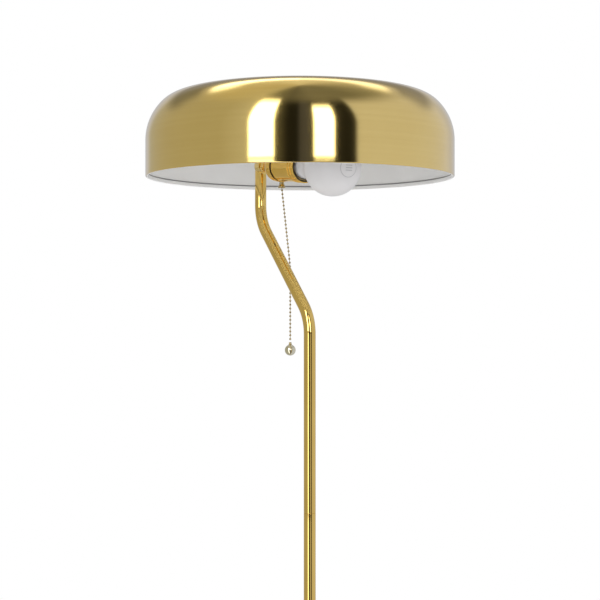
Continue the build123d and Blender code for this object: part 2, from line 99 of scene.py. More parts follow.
print("lampholder starts at", [round(v, 4) for v in holder_origin])

# %% [markdown]
# ## The camera
# The lamp is seen from a standing height, through a short telephoto lens, from a little below
# the rim of the shade. The camera is level, so the tube stays upright in the picture.

# %% Set up the camera
camera_distance = 1.435
camera_below_rim = 0.131
camera_turn = radians(57)
toward_camera = Vector((sin(camera_turn), -cos(camera_turn), 0))
camera_right = Vector((cos(camera_turn), sin(camera_turn), 0))
camera_data = bpy.data.cameras.new("camera")
camera_data.sensor_width = 36
camera_data.lens = 80.2
camera_data.clip_start, camera_data.clip_end = 0.05, 100
camera = bpy.data.objects.new("camera", camera_data)
bpy.context.collection.objects.link(camera)
camera.location = Vector((shade_x, 0, rim_z - camera_below_rim)) + toward_camera * camera_distance
camera.rotation_euler = (radians(90), 0, camera_turn)
bpy.context.scene.camera = camera
print("camera at", [round(v, 3) for v in camera.location])

# %% [markdown]
# ## Helpers for the bench
# Most of this lamp is turned or spun on a lathe, and so is its model. An outline is drawn as a
# chain of edges in the XZ plane: straight cuts extrude the last point, and round ones spin it
# about a centre. Then one full spin makes the body.

# %% Draw and turn an outline
class Outline:
    """A chain of edges in the XZ plane, drawn from point to point, then spun about the Z axis."""

    def __init__(self, radius, height):
        self.mesh = bmesh.new()
        self.tip = self.mesh.verts.new((radius, 0, height))

    def line(self, radius, height, steps=1):
        start, end = self.tip.co.copy(), Vector((radius, 0, height))
        for step in range(1, steps + 1):
            grown = bmesh.ops.extrude_vert_indiv(self.mesh, verts=[self.tip])
            self.tip = grown["verts"][0]
            self.tip.co = start.lerp(end, step / steps)
        return self

    def arc(self, radius, height, turn, steps):
        """Round the centre at radius, height; a positive turn goes from +X towards +Z."""
        swung = bmesh.ops.spin(
            self.mesh, geom=[self.tip], cent=(radius, 0, height), axis=(0, -1, 0),
            angle=radians(turn), steps=steps,
        )
        self.tip = next(item for item in swung["geom_last"] if isinstance(item, bmesh.types.BMVert))
        return self

    def turned(self, steps):
        """Spin the chain all the way round, close its seam and poles, and point its faces out."""
        mesh = self.mesh
        outline = mesh.verts[:] + mesh.edges[:]
        bmesh.ops.spin(
            mesh, geom=outline, cent=(0, 0, 0), axis=(0, 0, 1), angle=2 * pi, steps=steps, use_merge=True,
        )
        bmesh.ops.remove_doubles(mesh, verts=mesh.verts, dist=1e-6)
        loose = [edge for edge in mesh.edges if not edge.link_faces]
        bmesh.ops.delete(mesh, geom=loose, context="EDGES")
        bmesh.ops.recalc_face_normals(mesh, faces=mesh.faces)
        return mesh


print("outline ready")

# %% Ease sharp edges
def ease_edges(mesh, width, segments=2, sharper_than=30):
    """Round off every edge where two faces meet at more than an angle, in degrees."""
    sharp = [
        edge for edge in mesh.edges
        if len(edge.link_faces) == 2 and edge.calc_face_angle() > radians(sharper_than)
    ]
    bmesh.ops.bevel(
        mesh, geom=sharp, offset=width, segments=segments, profile=0.5, affect="EDGES", material=-1,
        clamp_overlap=True,
    )
    return mesh


print("edge helper ready")

# %% Turn a bmesh into a finished piece
pieces = {}


def finish_piece(name, mesh, body, replaces=(), place=None, smooth_angle=40):
    """Name a mesh, put it in its place, hang it on its body, and say which CAD nodes it stands for."""
    if place is not None:
        bmesh.ops.transform(mesh, matrix=place, verts=mesh.verts)
    data = bpy.data.meshes.new(name)
    mesh.to_mesh(data)
    mesh.free()
    piece = bpy.data.objects.new(name, data)
    bpy.context.collection.objects.link(piece)
    data.shade_smooth()
    data.set_sharp_from_angle(angle=radians(smooth_angle))
    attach(piece, body)
    if replaces:
        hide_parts(*replaces)
    pieces[name] = piece
    print(f"{name}: {len(data.polygons)} faces")
    return piece


print("piece helper ready")

# %% [markdown]
# ## The pull chain's route
# A bead chain is limp. It drops straight out of its bell, leans out to pass the sloping tube,
# and hangs plumb below it under the weight of its ball. The route has a point at each of those
# bends, and one six diameters before and after each, because the runs between them are straight.

# %% Lay the chain's route
chain_x = offset_x + 44.5 * MM
chain_lean = 10.0 * MM
chain_diameter = 2.4 * MM
chain_route = [
    (chain_x, 0, rim_z + 12.4 * MM),
    (chain_x, 0, rim_z + 4.4 * MM),
    (chain_x, 0, rim_z - 8.0 * MM),
    (chain_x + 0.2 * MM, 1.4 * MM, rim_z - 20.0 * MM),
    (chain_x + 1.4 * MM, 8.4 * MM, rim_z - 81.0 * MM),
    (chain_x + 1.6 * MM, chain_lean, rim_z - 95.0 * MM),
    (chain_x + 1.6 * MM, chain_lean, rim_z - 109.0 * MM),
    (chain_x + 1.6 * MM, chain_lean, rim_z - 177.4 * MM),
]


def spline_curve(name, points):
    """A smooth open NURBS through the pull of its points."""
    curve = bpy.data.curves.new(name, "CURVE")
    curve.dimensions = "3D"
    curve.resolution_u = 24
    spline = curve.splines.new("NURBS")
    spline.points.add(len(points) - 1)
    for point, place in zip(spline.points, points):
        point.co = (*place, 1)
    spline.order_u = 3
    spline.use_endpoint_u = True
    return bpy.data.objects.new(name, curve)


chain_curve = spline_curve("chain_line", chain_route)
chain_line = bpy.data.meshes.new_from_object(chain_curve)
chain_points = [vertex.co.copy() for vertex in chain_line.vertices]
bpy.data.objects.remove(chain_curve)
print("points read along the chain:", len(chain_points))

# %% Walk along a line in even steps
def walk(points, pitch, start=0.0):
    """Places every pitch metres along a line of points, each with the line's direction there."""
    stops = []
    travelled, wanted = 0.0, start
    for here, ahead in zip(points, points[1:]):
        step = (ahead - here).length
        while step > 0 and wanted <= travelled + step:
            stops.append((here.lerp(ahead, (wanted - travelled) / step), (ahead - here).normalized()))
            wanted += pitch
        travelled += step
    return stops, travelled


bead_pitch = 4.2 * MM
bead_stops, chain_length = walk(chain_points, bead_pitch, start=bead_pitch / 2)
print("beads:", len(bead_stops), "chain length:", round(chain_length, 4), "m")

# %% [markdown]
# ## The bead chain
# Each bead is a hollow ball crimped round a short wire with a swelled end. At this size a low
# sphere per bead is enough, with a thin link along the line to the next. The balls come from
# one create_uvsphere each, turned so that their poles lie on the line.

# %% String the beads
def aim(direction):
    """A rotation that turns +Z to a direction."""
    return direction.to_track_quat("Z", "Y").to_matrix().to_4x4()


chain_mesh = bmesh.new()
bead_radius = chain_diameter / 2
link_radius = 0.35 * MM
for place, direction in bead_stops:
    stand = Matrix.Translation(place) @ aim(direction)
    bmesh.ops.create_uvsphere(chain_mesh, u_segments=12, v_segments=8, radius=bead_radius, matrix=stand)
for (place, _), (following, _) in zip(bead_stops, bead_stops[1:]):
    middle = Matrix.Translation((place + following) / 2) @ aim(following - place)
    bmesh.ops.create_cone(
        chain_mesh, cap_ends=True, segments=8, radius1=link_radius, radius2=link_radius,
        depth=(following - place).length, matrix=middle,
    )
chain = finish_piece("bead_chain", chain_mesh, "pull_chain", ["pull_chain"])

# %% [markdown]
# ## The end of the chain
# The last bead is held in a small turned coupling, and the coupling screws into a solid brass
# ball. Both are lathe work. The ball has a flat where the coupling seats.

# %% Turn the coupling and the ball
ferrule_low, ferrule_high = (Vector(corner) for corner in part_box("chain_ferrule"))
ball_low, ball_high = (Vector(corner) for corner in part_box("chain_ball"))
chain_end = Vector(((ball_low.x + ball_high.x) / 2, (ball_low.y + ball_high.y) / 2, 0))
ball_radius = (ball_high.x - ball_low.x) / 2
ball_centre = ball_low.z + ball_radius

ferrule = Outline(0, ferrule_high.z).line(0.9 * MM, ferrule_high.z)
ferrule.arc(0.9 * MM, ferrule_high.z - 0.6 * MM, -90, 4)
ferrule.line(1.5 * MM, ferrule_low.z + 0.9 * MM).line(1.9 * MM, ferrule_low.z + 0.6 * MM)
ferrule.line(1.9 * MM, ferrule_low.z).line(0, ferrule_low.z)
ferrule_piece = finish_piece(
    "chain_coupling", ferrule.turned(24), "pull_chain", ["chain_ferrule"],
    Matrix.Translation(chain_end),
)
flat_angle = degrees(atan2(ball_high.z - ball_centre, 1.9 * MM))
ball = Outline(0, ball_high.z).line(1.9 * MM, ball_high.z)
ball.arc(0, ball_centre, -flat_angle - 90, 28).line(0, ball_low.z)
ball_piece = finish_piece(
    "chain_ball_turned", ball.turned(40), "pull_chain", ["chain_ball"],
    Matrix.Translation(chain_end),
)

# %% The chain's pieces are made
print("chain pieces made")

# %% [markdown]
# ## The shade
# The shade is a disc of sheet spun over a former: an upright drum wall, a wide shoulder, a
# tighter brow and a nearly flat crown. Its outside is brass plate and its inside white enamel,
# so it is made as two close skins, each with a real thickness, and each with its own finish.
# The four runs of the outline are tangent, so every arc's centre follows from the one before.

# %% Work out the shade's outline
drum_height = 38.4 * MM
shoulder_radius, shoulder_turn = 56.5 * MM, 43.5
brow_radius, brow_turn = 37.1 * MM, 40.5
crown_turn = 90 - shoulder_turn - brow_turn
shoulder_x = shade_radius - shoulder_radius
brow_x = shoulder_x + (shoulder_radius - brow_radius) * cos(radians(shoulder_turn))
brow_z = drum_height + (shoulder_radius - brow_radius) * sin(radians(shoulder_turn))
crown_radius = brow_radius + brow_x / sin(radians(crown_turn))
crown_z = brow_z - (crown_radius - brow_radius) * cos(radians(crown_turn))
print("crown radius", round(crown_radius, 3), "height", round((crown_z + crown_radius) * 1000, 1), "mm")


def over_the_shade(outline):
    """Carry an outline from the top of the drum wall over to the axis."""
    outline.arc(shoulder_x, drum_height, shoulder_turn, 26)
    outline.arc(brow_x, brow_z, brow_turn, 22)
    outline.arc(0, crown_z, crown_turn, 10)
    return outline


def back_to_the_rim(outline):
    """Carry an outline from the axis back down to the top of the drum wall."""
    outline.arc(0, crown_z, -crown_turn, 10)
    outline.arc(brow_x, brow_z, -brow_turn, 22)
    outline.arc(shoulder_x, drum_height, -shoulder_turn, 26)
    return outline


# %% Spin the brass skin
skin_thickness = 0.55 * MM
rim_round = 1.2 * MM
skin = Outline(shade_radius - rim_round, 0).arc(shade_radius - rim_round, rim_round, 90, 6)
over_the_shade(skin.line(shade_radius, drum_height, steps=6))
skin.line(0, crown_z + crown_radius - skin_thickness)
back_to_the_rim(skin)
skin.line(shade_radius - skin_thickness, rim_round * 1.2).line(shade_radius - rim_round, skin_thickness)
skin.line(shade_radius - rim_round, 0)
finish_piece(
    "shade_skin", skin.turned(192), "stand", ["shade_shell"], shade_place,
)

# %% [markdown]
# The edge of the sheet is turned in on itself to make a stiff hem. Inside the shade the hem shows
# as a band a few millimetres tall, with a fine gap above it where the turned edge ends. The
# enamel covers the hem as well as the wall, so it is drawn down the wall, into the gap, over the
# hem's top, down its face and round under the rim.

# %% Spin the enamel and the hem
hem_height, hem_depth = 4.6 * MM, 2.6 * MM
hem_round = 0.8 * MM
enamel_out, enamel_in = 0.57 * MM, 1.0 * MM
wall_r, hem_r = shade_radius - enamel_in, shade_radius - hem_depth
enamel = Outline(shade_radius - enamel_out, 1.6 * MM).line(shade_radius - enamel_out, drum_height, steps=4)
over_the_shade(enamel)
enamel.line(0, crown_z + crown_radius - enamel_in)
back_to_the_rim(enamel)
enamel.line(wall_r, hem_height - 0.8 * MM, steps=4).line(wall_r - 0.35 * MM, hem_height - 0.8 * MM)
enamel.line(wall_r - 0.35 * MM, hem_height - 0.3 * MM)
enamel.arc(hem_r + hem_round, hem_height - hem_round, 90, 5)
enamel.line(hem_r, hem_round)
enamel.arc(hem_r + hem_round, hem_round, 90, 5)
enamel.line(shade_radius - rim_round - 0.05 * MM, 0).line(shade_radius - rim_round - 0.05 * MM, 0.9 * MM)
enamel.line(shade_radius - enamel_out, 1.6 * MM)
finish_piece("shade_enamel", enamel.turned(192), "stand", (), shade_place)

# %% [markdown]
# ## The tubes
# The lamp stands on three lengths of half-inch tube, screwed end to end. The ends of each are
# eased, and two eased ends meeting make the fine dark line of the joint. A straight tube is a
# short outline turned once. The bent one is a ring of points that is pushed along its axis and
# swung round the centre of each bend, as a tube bender does it.

# %% Turn the straight tubes
tube_bore = tube_radius - 1.2 * MM
eased = 0.35 * MM


def straight_tube(name, node):
    low, high = (Vector(corner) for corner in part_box(node))
    tube = Outline(tube_bore, low.z).line(tube_radius - eased, low.z)
    tube.arc(tube_radius - eased, low.z + eased, 90, 4)
    tube.line(tube_radius, high.z - eased, steps=8).arc(tube_radius - eased, high.z - eased, 90, 4)
    tube.line(tube_bore, high.z).line(tube_bore, low.z)
    return finish_piece(name, tube.turned(48), "stand", [node])


straight_tube("tube_lower", "lower_tube")
straight_tube("tube_middle", "middle_tube")

# %% Bend the upper tube
bend_radius = 45 * MM
lower_bend_z, upper_bend_z = rim_z - 149.7 * MM, rim_z - 42.4 * MM
slope_turn = atan2(-offset_x, upper_bend_z - lower_bend_z)
bend_reach = bend_radius * tan(slope_turn / 2)
slope_length = hypot(offset_x, upper_bend_z - lower_bend_z) - 2 * bend_reach
slope_direction = Vector((-sin(slope_turn), 0, cos(slope_turn)))


def push(mesh, ring, travel, steps=1):
    """Extrude a ring of edges along a vector, and return the new ring."""
    for _ in range(steps):
        grown = bmesh.ops.extrude_edge_only(mesh, edges=ring)["geom"]
        ring = [item for item in grown if isinstance(item, bmesh.types.BMEdge)]
        moved = [item for item in grown if isinstance(item, bmesh.types.BMVert)]
        bmesh.ops.translate(mesh, vec=travel / steps, verts=moved)
    return ring


def swing(mesh, ring, centre, turn, steps):
    """Bend the tube on round a centre, and return the new ring."""
    joined = list({vertex for edge in ring for vertex in edge.verts}) + ring
    swung = bmesh.ops.spin(mesh, geom=joined, cent=centre, axis=(0, -1, 0), angle=turn, steps=steps)
    return [item for item in swung["geom_last"] if isinstance(item, bmesh.types.BMEdge)]


print("slope of the tube:", round(degrees(slope_turn), 1), "degrees")

# %% Push and swing the upper tube
bent = bmesh.new()
start_z, top_z = upper_low.z, upper_high.z
bmesh.ops.create_circle(bent, cap_ends=False, segments=48, radius=tube_radius - eased,
                        matrix=Matrix.Translation((0, 0, start_z)))
ring = bent.edges[:]
for step in range(4):
    angle = radians(90 * (step + 1) / 4)
    before = radians(90 * step / 4)
    ring = push(bent, ring, Vector((0, 0, eased * (cos(before) - cos(angle)))))
    wide = tube_radius - eased + eased * sin(angle)
    for vertex in {vertex for edge in ring for vertex in edge.verts}:
        flat = Vector((vertex.co.x, vertex.co.y, 0)).normalized() * wide
        vertex.co = (flat.x, flat.y, vertex.co.z)
ring = push(bent, ring, Vector((0, 0, lower_bend_z - bend_reach - start_z - eased)), steps=6)
ring = swing(bent, ring, (-bend_radius, 0, lower_bend_z - bend_reach), slope_turn, 20)
ring = push(bent, ring, slope_direction * slope_length, steps=3)
upper_centre = Vector((offset_x + bend_radius, 0, upper_bend_z + bend_reach))
ring = swing(bent, ring, upper_centre, -slope_turn, 20)
ring = push(bent, ring, Vector((0, 0, top_z - upper_bend_z - bend_reach)), steps=4)
bmesh.ops.recalc_face_normals(bent, faces=bent.faces)
upper_tube = finish_piece("tube_upper", bent, "stand", ["upper_tube"])
wall = upper_tube.modifiers.new("wall", "SOLIDIFY")
wall.thickness, wall.offset = 1.15 * MM, -1

# %% [markdown]
# ## The shade's bracket
# Inside the crown a strip of steel hangs like a shallow hook: two feet brazed to the shade, two
# legs, and a plate that sits on the end of the tube. It is bent from flat strip, so it starts as a
# bent line, is drawn out to its width, and gets its thickness last, so that its bends stay round.

# %% Fold the bracket
bracket_low, bracket_high = (Vector(corner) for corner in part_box("shade_bracket"))
strip = 2 * MM
plate_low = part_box("shade_washer")[0][2] - strip - rim_z
left_leg = offset_x - 20 * MM - shade_x
right_leg = offset_x + 20 * MM - shade_x
foot_radius = crown_radius - enamel_in - strip / 2


def under_crown(x):
    """Height of the strip's middle under the crown of the shade, above the rim."""
    return crown_z + (foot_radius**2 - x**2) ** 0.5


left_tip, right_tip = bracket_low.x - shade_x, bracket_high.x - shade_x
bracket_line = Outline(left_tip, under_crown(left_tip)).line(left_leg, under_crown(left_leg))
bracket_line.line(left_leg, plate_low + strip / 2).line(right_leg, plate_low + strip / 2)
bracket_line.line(right_leg, under_crown(right_leg))
for step in range(1, 9):
    x = right_leg + (right_tip - right_leg) * step / 8
    bracket_line.line(x, under_crown(x))
bracket_mesh = bracket_line.mesh
bmesh.ops.translate(bracket_mesh, vec=(0, bracket_low.y, 0), verts=bracket_mesh.verts)
grown = bmesh.ops.extrude_edge_only(bracket_mesh, edges=bracket_mesh.edges[:])["geom"]
far_edge = [item for item in grown if isinstance(item, bmesh.types.BMVert)]
bmesh.ops.translate(bracket_mesh, vec=(0, bracket_high.y - bracket_low.y, 0), verts=far_edge)
bends = [e for e in bracket_mesh.edges if len(e.link_faces) == 2 and e.calc_face_angle() > radians(30)]
bmesh.ops.bevel(
    bracket_mesh, geom=bends, offset=3 * MM, segments=5, profile=0.5, affect="EDGES", material=-1,
)
bmesh.ops.recalc_face_normals(bracket_mesh, faces=bracket_mesh.faces)
bracket = finish_piece(
    "shade_bracket_strip", bracket_mesh, "stand", ["shade_bracket"], shade_place,
)
thickness = bracket.modifiers.new("strip", "SOLIDIFY")
thickness.thickness, thickness.offset = strip, 0
soft_edge = bracket.modifiers.new("eased", "BEVEL")
soft_edge.width, soft_edge.segments = 0.3 * MM, 2

# %% [markdown]
# ## The base
# The weight is hidden under a spun cover with a long gentle slope, a rounded edge and a short
# skirt that ends in a rolled hem. The cover is one turned outline with the thickness of the sheet.

# %% Spin the base cover
cover_low, cover_high = (Vector(corner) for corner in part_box("base_cover"))
cover_radius = (cover_high.x - cover_low.x) / 2
sheet = 1.2 * MM
seat_radius, edge_radius, slope_angle = 20 * MM, 10 * MM, 8
nipple_hole = 5.2 * MM
slope_span = cover_radius - edge_radius * (1 - sin(radians(slope_angle))) - seat_radius
slope_radius = slope_span / sin(radians(slope_angle))
slope_centre = cover_high.z - slope_radius
edge_x = cover_radius - edge_radius
edge_z = slope_centre + (slope_radius - edge_radius) * cos(radians(slope_angle))
cover = Outline(cover_radius - 1.6 * MM, cover_low.z)
cover.arc(cover_radius - 0.8 * MM, cover_low.z + 0.8 * MM, 130, 6)
cover.line(cover_radius, cover_low.z + 2.4 * MM).line(cover_radius, edge_z, steps=2)
cover.arc(edge_x, edge_z, 90 - slope_angle, 16)
cover.arc(seat_radius, slope_centre, slope_angle, 24)
cover.line(nipple_hole, cover_high.z).line(nipple_hole, cover_high.z - sheet)
cover.line(seat_radius, cover_high.z - sheet)
cover.arc(seat_radius, slope_centre, -slope_angle, 24)
cover.arc(edge_x, edge_z, slope_angle - 90, 16)
cover.line(cover_radius - sheet, cover_low.z + 2.4 * MM).line(cover_radius - 1.6 * MM, cover_low.z)
finish_piece("base_cover_spun", cover.turned(160), "stand", ["base_cover"])

# %% Turn the foot collar
collar_low, collar_high = (Vector(corner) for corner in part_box("foot_collar"))
collar_radius = (collar_high.x - collar_low.x) / 2
collar_bore = tube_radius + 0.05 * MM
collar = Outline(collar_bore, collar_low.z).line(collar_radius, collar_low.z)
collar.line(collar_radius, collar_low.z + 2 * MM).line(collar_radius - 2 * MM, collar_low.z + 4 * MM)
collar.line(9.2 * MM, collar_low.z + 6 * MM).line(8.4 * MM, collar_high.z - 1 * MM)
collar.line(7.6 * MM, collar_high.z).line(collar_bore, collar_high.z).line(collar_bore, collar_low.z)
collar_mesh = ease_edges(collar.turned(64), 0.4 * MM, 3, 12)
finish_piece("foot_collar_turned", collar_mesh, "stand", ["foot_collar"])

# %% Turn the inlet bush
bush_low, bush_high = (Vector(corner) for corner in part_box("inlet_bush"))
bush_lip = (bush_high.y - bush_low.y) / 2
bush_bore = 2.9 * MM
bush_length = bush_high.x - bush_low.x
bush = Outline(bush_bore, 0).line(bush_lip, 0).line(bush_lip, 1.6 * MM).line(4.0 * MM, 1.6 * MM)
bush.line(4.0 * MM, bush_length - 2.0 * MM).line(bush_lip, bush_length - 2.0 * MM)
bush.line(bush_lip, bush_length).line(bush_bore, bush_length).line(bush_bore, 0)
bush_middle = (bush_low.z + bush_high.z) / 2
bush_place = Matrix.Translation((bush_low.x, 0, bush_middle)) @ Matrix.Rotation(pi / 2, 4, "Y")
bush_mesh = ease_edges(bush.turned(40), 0.35 * MM, 3)
finish_piece(
    "inlet_bush_moulded", bush_mesh, "stand", ["inlet_bush"], bush_place,
)

# %% [markdown]
# ## The lampholder
# The holder is a nest of thin cups on one axis. From the tube outwards: a saddle disc cut to the
# tube, a domed cap with a screw in its neck, a fine gap where the dark liner shows, and a shell
# with two pressed rings and a rolled mouth. Every outline is drawn along the holder's own axis.

# %% Shape the saddle disc
saddle_radius, saddle_end = 8.6 * MM, 9.5 * MM
saddle_bore = 5.2 * MM
saddle = Outline(saddle_bore, 0).line(saddle_radius, 0, steps=4).line(saddle_radius, saddle_end)
saddle.line(saddle_bore, saddle_end).line(saddle_bore, 0)
saddle_mesh = saddle.turned(64)
for vertex in saddle_mesh.verts:
    if vertex.co.z < 0.1 * MM:
        beyond = max(tube_radius**2 - vertex.co.x**2, 0)
        vertex.co.z = beyond**0.5 + 0.05 * MM
ease_edges(saddle_mesh, 0.5 * MM, 3, 60)
finish_piece(
    "saddle_disc", saddle_mesh, "stand", ["tube_saddle"], holder_place,
)

# %% Spin the cap
cap_radius, cap_neck, cap_end = 16.9 * MM, 7.4 * MM, 45.8 * MM
sheet_brass = 0.6 * MM
dome_start, dome_radius, dome_turn = 40 * MM, 15 * MM, 52
neck_end, neck_start = 20 * MM, 9.55 * MM
dome_centre = cap_radius - dome_radius
cap = Outline(cap_radius - sheet_brass, cap_end).line(cap_radius, cap_end)
cap.arc(cap_radius, cap_end - 0.35 * MM, -180, 6)
cap.line(cap_radius, dome_start, steps=18)
cap.arc(dome_centre, dome_start, -dome_turn, 18)
cap.line(cap_neck + 0.9 * MM, neck_end + 1.0 * MM, steps=3).line(cap_neck, neck_end - 0.6 * MM)
cap.line(cap_neck, neck_start).line(nipple_hole, neck_start).line(nipple_hole, neck_end)
cap.line(cap_neck, neck_end + 1.4 * MM)
inner_dome = dome_radius - sheet_brass
dome_angle = radians(dome_turn)
cap.line(dome_centre + inner_dome * cos(dome_angle), dome_start - inner_dome * sin(dome_angle))
cap.arc(dome_centre, dome_start, dome_turn, 18)
cap.line(cap_radius - sheet_brass, cap_end)
cap_mesh = cap.turned(144)
print("cap turned")

# %% Crimp the cap
crimp_count, crimp_z, crimp_size, crimp_depth = 12, 42.6 * MM, 1.5 * MM, 0.55 * MM
for vertex in cap_mesh.verts:
    reach = hypot(vertex.co.x, vertex.co.y)
    if reach < cap_radius - 0.1 * MM or vertex.co.z < dome_start - 1 * MM:
        continue
    around = (atan2(vertex.co.y, vertex.co.x) / (2 * pi) * crimp_count) % 1 - 0.5
    away = hypot(around * 2 * pi * cap_radius / crimp_count, vertex.co.z - crimp_z)
    if away < crimp_size:
        push_in = crimp_depth * (1 - (away / crimp_size) ** 2) ** 2
        vertex.co.x *= 1 - push_in / reach
        vertex.co.y *= 1 - push_in / reach
finish_piece("holder_cap", cap_mesh, "stand", ["socket_cap"], holder_place)

# %% Cut the slotted set screw
head_low, head_high, head_radius = 7.4 * MM, 9.2 * MM, 2.4 * MM
slot_half, slot_depth = 0.35 * MM, 0.8 * MM
screw = Outline(0, 5.4 * MM).line(1.5 * MM, 5.4 * MM).line(1.5 * MM, head_low).line(head_radius, head_low)
screw.line(head_radius, head_high - 0.7 * MM).arc(head_radius - 0.7 * MM, head_high - 0.7 * MM, 90, 4)
screw.line(0, head_high)
screw_mesh = screw.turned(32)
for side in (-1, 1):
    bmesh.ops.bisect_plane(
        screw_mesh, geom=screw_mesh.verts[:] + screw_mesh.edges[:] + screw_mesh.faces[:],
        plane_co=(side * slot_half, 0, 0), plane_no=(1, 0, 0),
    )
slot_faces = [
    face for face in screw_mesh.faces
    if abs(face.calc_center_median().x) < slot_half and face.normal.z > 0.3
    and face.calc_center_median().z > head_low + 0.5 * MM
]
sunk = bmesh.ops.extrude_face_region(screw_mesh, geom=slot_faces)["geom"]
bmesh.ops.delete(screw_mesh, geom=slot_faces, context="FACES_ONLY")
sunk_verts = [item for item in sunk if isinstance(item, bmesh.types.BMVert)]
for vertex in sunk_verts:
    vertex.co.z = head_high - slot_depth
bmesh.ops.recalc_face_normals(screw_mesh, faces=screw_mesh.faces)
screw_place = (
    holder_place @ Matrix.Translation((0, 0, 12.6 * MM)) @ Matrix.Rotation(radians(210), 4, "Z")
    @ Matrix.Rotation(pi / 2, 4, "Y")
)
finish_piece("set_screw", screw_mesh, "stand", ["cap_set_screw"], screw_place)

# %% Spin the shell
shell_radius, shell_start, shell_end = 16.5 * MM, 49.1 * MM, 92.4 * MM
ring_places, ring_round = (81.2 * MM, 86.2 * MM), 0.65 * MM
shell = Outline(shell_radius - sheet_brass, shell_start).line(shell_radius + 0.1 * MM, shell_start)
shell.arc(shell_radius + 0.1 * MM, shell_start + 0.4 * MM, 180, 6)
shell.line(shell_radius, shell_start + 1.6 * MM)
for place in ring_places:
    shell.line(shell_radius, place - ring_round, steps=4).arc(shell_radius, place, 180, 10)
shell.line(shell_radius, shell_end - 1.5 * MM)
shell.arc(shell_radius, shell_end - 0.7 * MM, 180, 10)
shell.line(shell_radius - sheet_brass, shell_end - 0.1 * MM).line(shell_radius - sheet_brass, shell_start)
finish_piece(
    "holder_shell", shell.turned(96), "stand", ["socket_shell"], holder_place,
)

# %% Turn the liner
liner_radius, liner_wall, liner_start = 15.85 * MM, 0.8 * MM, 42 * MM
liner_end = shell_end + 1.0 * MM
liner = Outline(liner_radius - liner_wall, liner_start).line(liner_radius, liner_start)
liner.line(liner_radius, liner_end, steps=4).line(liner_radius - liner_wall, liner_end)
liner.line(liner_radius - liner_wall, liner_start)
liner_mesh = ease_edges(liner.turned(96), 0.15 * MM, 2, 60)
finish_piece(
    "holder_liner", liner_mesh, "stand", ["socket_liner"], holder_place,
)

# %% [markdown]
# Inside the liner, a plain sleeve stands for the screw shell that takes the bulb's cap. The cap has
# a rolled thread, four and a half turns of a round ridge. A spin that also climbs makes a true
# screw thread: dvec moves the outline along the axis at every step, and a turn climbs one pitch.

# %% Roll a thread
thread_pitch = 3.63 * MM
thread_turns = 4.5
steps_per_turn = 40


def add_thread(mesh, radius, start, ridge):
    """Wind a half-round ridge about the Z axis."""
    first = mesh.verts.new((radius, 0, start - ridge))
    swung = bmesh.ops.spin(
        mesh, geom=[first], cent=(radius, 0, start), axis=(0, -1, 0), angle=pi, steps=8,
    )
    section = [item for item in swung["geom_last"] if isinstance(item, bmesh.types.BMVert)]
    outline = [first]
    edges = []
    while outline[-1] is not section[0]:
        edge = next(e for e in outline[-1].link_edges if e not in edges)
        edges.append(edge)
        outline.append(edge.other_vert(outline[-1]))
    steps = int(steps_per_turn * thread_turns)
    bmesh.ops.spin(
        mesh, geom=outline + edges, cent=(0, 0, 0), axis=(0, 0, 1), angle=2 * pi * thread_turns,
        dvec=(0, 0, thread_pitch / steps_per_turn), steps=steps,
    )


print("thread helper ready")

# %% Turn the screw shell
screw_wall, screw_start, screw_end = 14.25 * MM, 63 * MM, 91 * MM
sleeve = Outline(6.5 * MM, screw_start).line(screw_wall, screw_start).line(screw_wall, screw_end)
sleeve.line(screw_wall - 0.4 * MM, screw_end).line(screw_wall - 0.4 * MM, screw_start + 0.5 * MM)
sleeve.line(6.5 * MM, screw_start + 0.5 * MM).line(6.5 * MM, screw_start)
finish_piece(
    "screw_shell_rolled", sleeve.turned(64), "stand", ["screw_shell"], holder_place,
)

# %% Turn the bulb's cap and roll its thread
cap_wall_radius, cap_top = 12.6 * MM, 90.5 * MM
bulb_cap = Outline(11.0 * MM, 68.6 * MM).line(12.0 * MM, 69.2 * MM).line(cap_wall_radius, 70.6 * MM)
bulb_cap.line(cap_wall_radius, 88.2 * MM, steps=6).line(13.1 * MM, 89.2 * MM)
bulb_cap.line(13.1 * MM, cap_top - 0.3 * MM).line(12.55 * MM, cap_top)
bulb_cap.line(12.3 * MM, 89.2 * MM).line(12.2 * MM, 70.9 * MM)
bulb_cap.line(10.8 * MM, 69.1 * MM).line(11.0 * MM, 68.6 * MM)
bulb_cap_mesh = ease_edges(bulb_cap.turned(64), 0.25 * MM, 2, 20)
add_thread(bulb_cap_mesh, cap_wall_radius - 0.3 * MM, 71.8 * MM, 0.82 * MM)
finish_piece("bulb_screw_cap", bulb_cap_mesh, "bulb", ["bulb_cap"], holder_place)

# %% [markdown]
# ## The bulb
# The bulb is one blown skin: a short neck, a hollow sweep, and a ball. The sweep's arc is tangent
# to both, so its radius follows from the neck, the ball and the distance between them. The glass is
# frosted inside, so it looks solid white, and its wall is given by a modifier.

# %% Blow the glass
globe_radius, globe_place = 30 * MM, 143.8 * MM
neck_radius, neck_low, neck_high = 12.5 * MM, 87 * MM, 98 * MM
drop = globe_place - neck_high
sweep_radius = (neck_radius**2 + drop**2 - globe_radius**2) / (2 * (globe_radius - neck_radius))
sweep_turn = degrees(atan2(drop, neck_radius + sweep_radius))
glass = Outline(neck_radius, neck_low).line(neck_radius, neck_high, steps=4)
glass.arc(neck_radius + sweep_radius, neck_high, -sweep_turn, 18)
glass.arc(0, globe_place, 90 + sweep_turn, 44)
glass_mesh = glass.turned(96)
bulb_glass = finish_piece(
    "bulb_glass_blown", glass_mesh, "bulb", ["bulb_glass"], holder_place,
)
glass_wall = bulb_glass.modifiers.new("wall", "SOLIDIFY")
glass_wall.thickness, glass_wall.offset = 0.8 * MM, -1
print("sweep radius", round(sweep_radius * 1000, 1), "mm over", round(sweep_turn, 1), "degrees")

